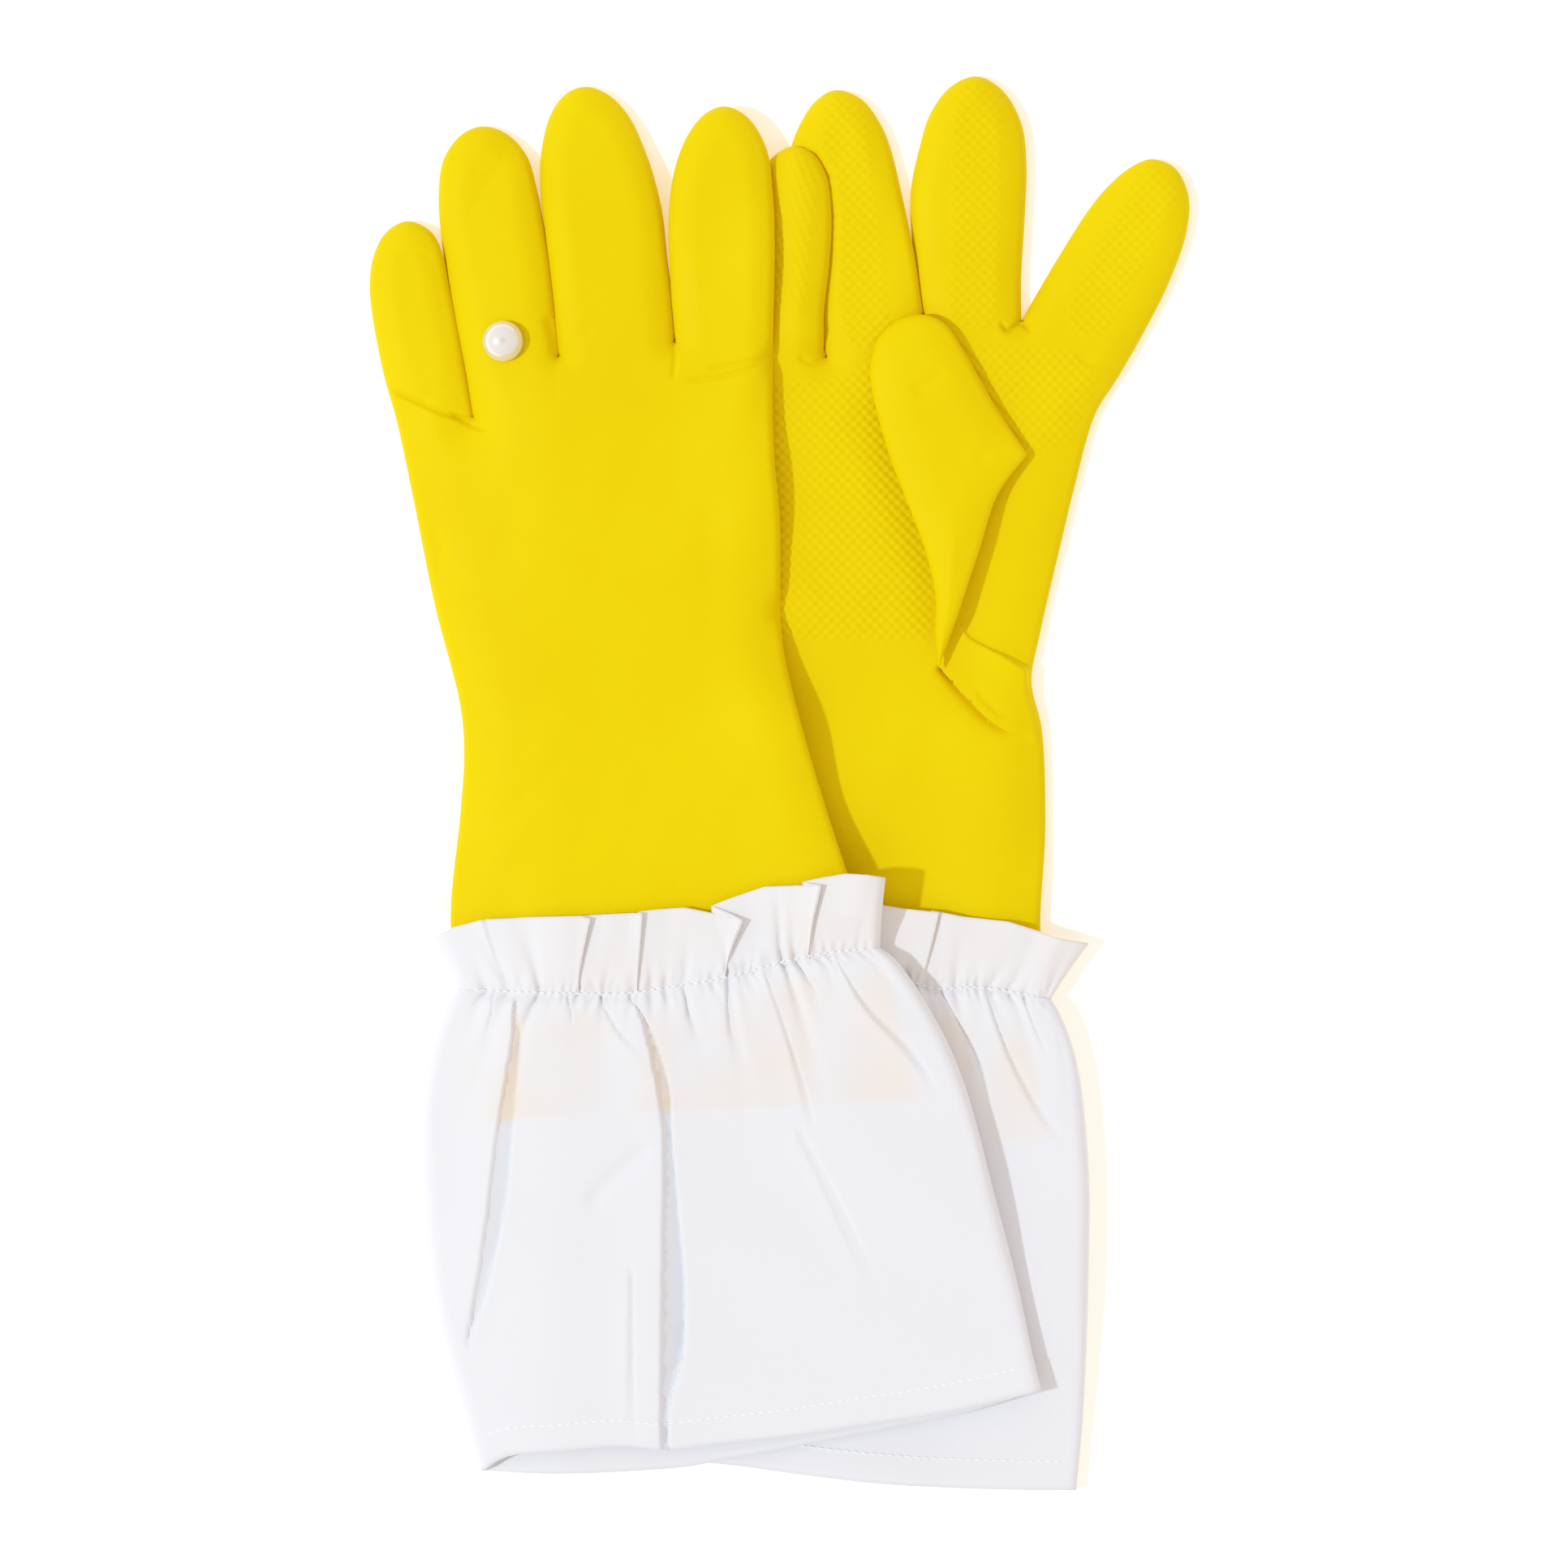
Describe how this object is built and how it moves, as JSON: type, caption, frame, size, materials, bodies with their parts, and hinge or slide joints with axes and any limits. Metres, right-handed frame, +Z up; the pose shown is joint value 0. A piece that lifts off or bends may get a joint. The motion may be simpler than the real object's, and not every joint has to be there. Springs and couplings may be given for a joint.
{
  "type": "rubber gloves",
  "caption": "Pair of long household rubber gloves with gathered fabric sleeves, one lying palm up and the other across it palm down, with a pearl on the ring finger.",
  "frame": {"origin": "middle of the pair's footprint, on the surface that it lies on", "axes": "+Y towards the fingertips, +X towards the right glove, +Z up, away from the surface"},
  "size_m": [0.2382, 0.4104, 0.0202],
  "materials": {
    "latex": "matte",
    "cloth": "matte",
    "elastic": "matte",
    "thread": "matte",
    "pearl": "pearlescent",
    "metal": "satin"
  },
  "bodies": {
    "right_glove": {"right_palm_panel": "latex", "right_back_panel": "latex", "right_cuff_bead": "latex", "right_thumb_hood": "latex", "right_little_finger": "latex", "right_ring_finger": "latex", "right_frill_top": "cloth", "right_frill_under": "cloth", "right_sleeve_upper_top": "cloth", "right_sleeve_upper_under": "cloth", "right_elastic": "elastic", "right_gather_thread": "thread", "right_sleeve_skirt_top": "cloth", "right_sleeve_skirt_under": "cloth", "right_sleeve_hem": "cloth", "right_hem_thread": "thread"},
    "right_middle": {"right_middle_finger": "latex"},
    "right_index": {"right_index_finger": "latex"},
    "right_thumb": {"right_thumb": "latex"},
    "left_glove": {"left_palm_panel": "latex", "left_back_panel": "latex", "left_cuff_bead": "latex", "left_thumb_hood": "latex", "left_frill_top": "cloth", "left_frill_under": "cloth", "left_sleeve_upper_top": "cloth", "left_sleeve_upper_under": "cloth", "left_elastic": "elastic", "left_gather_thread": "thread", "left_pearl": "pearl", "left_pearl_post": "metal", "left_pearl_backing": "metal"},
    "left_little": {"left_little_finger": "latex"},
    "left_ring": {"left_ring_finger": "latex"},
    "left_middle": {"left_middle_finger": "latex"},
    "left_index": {"left_index_finger": "latex"},
    "left_thumb": {"left_thumb": "latex"},
    "left_sleeve_skirt": {"left_sleeve_skirt_top": "cloth", "left_sleeve_skirt_under": "cloth", "left_sleeve_hem": "cloth", "left_hem_thread": "thread"}
  },
  "joints": [
    {"name": "left_glove_lift", "type": "slide", "parent": "right_glove", "child": "left_glove", "axis": [0, 0, 1], "range_m": [0, 0.12]},
    {"name": "left_little_fold", "type": "hinge", "parent": "left_glove", "child": "left_little", "pos_m": [-0.10302, 0.11275, 0.0092], "axis": [0.976, 0.1422, 0.165], "range_deg": [0, 90]},
    {"name": "left_ring_fold", "type": "hinge", "parent": "left_glove", "child": "left_ring", "pos_m": [-0.07899, 0.13529, 0.01348], "axis": [0.9727, 0.1548, 0.1731], "range_deg": [0, 90]},
    {"name": "left_middle_fold", "type": "hinge", "parent": "left_glove", "child": "left_middle", "pos_m": [-0.04834, 0.13435, 0.01538], "axis": [0.993, 0.1181, 0], "range_deg": [0, 90]},
    {"name": "left_index_fold", "type": "hinge", "parent": "left_glove", "child": "left_index", "pos_m": [-0.0162, 0.13401, 0.0154], "axis": [1, 0.0032, 0], "range_deg": [0, 90]},
    {"name": "left_thumb_fold", "type": "hinge", "parent": "left_glove", "child": "left_thumb", "pos_m": [-0.04425, 0.039, 0], "axis": [-1, 0, 0], "range_deg": [0, 90]},
    {"name": "left_sleeve_fold", "type": "hinge", "parent": "left_glove", "child": "left_sleeve_skirt", "pos_m": [-0.022, -0.09975, 0.01748], "axis": [-0.9985, -0.0555, 0], "range_deg": [0, 75]},
    {"name": "right_middle_fold", "type": "hinge", "parent": "right_glove", "child": "right_middle", "pos_m": [0.0557, 0.1426, 0.0074], "axis": [0.9997, -0.0255, 0], "range_deg": [0, 90]},
    {"name": "right_index_fold", "type": "hinge", "parent": "right_glove", "child": "right_index", "pos_m": [0.0874, 0.1323, 0.0074], "axis": [0.8971, -0.4419, 0], "range_deg": [0, 90]},
    {"name": "right_thumb_fold", "type": "hinge", "parent": "right_glove", "child": "right_thumb", "pos_m": [0.05325, 0.039, 0.01478], "axis": [1, 0, 0], "range_deg": [0, 110]}
  ]
}
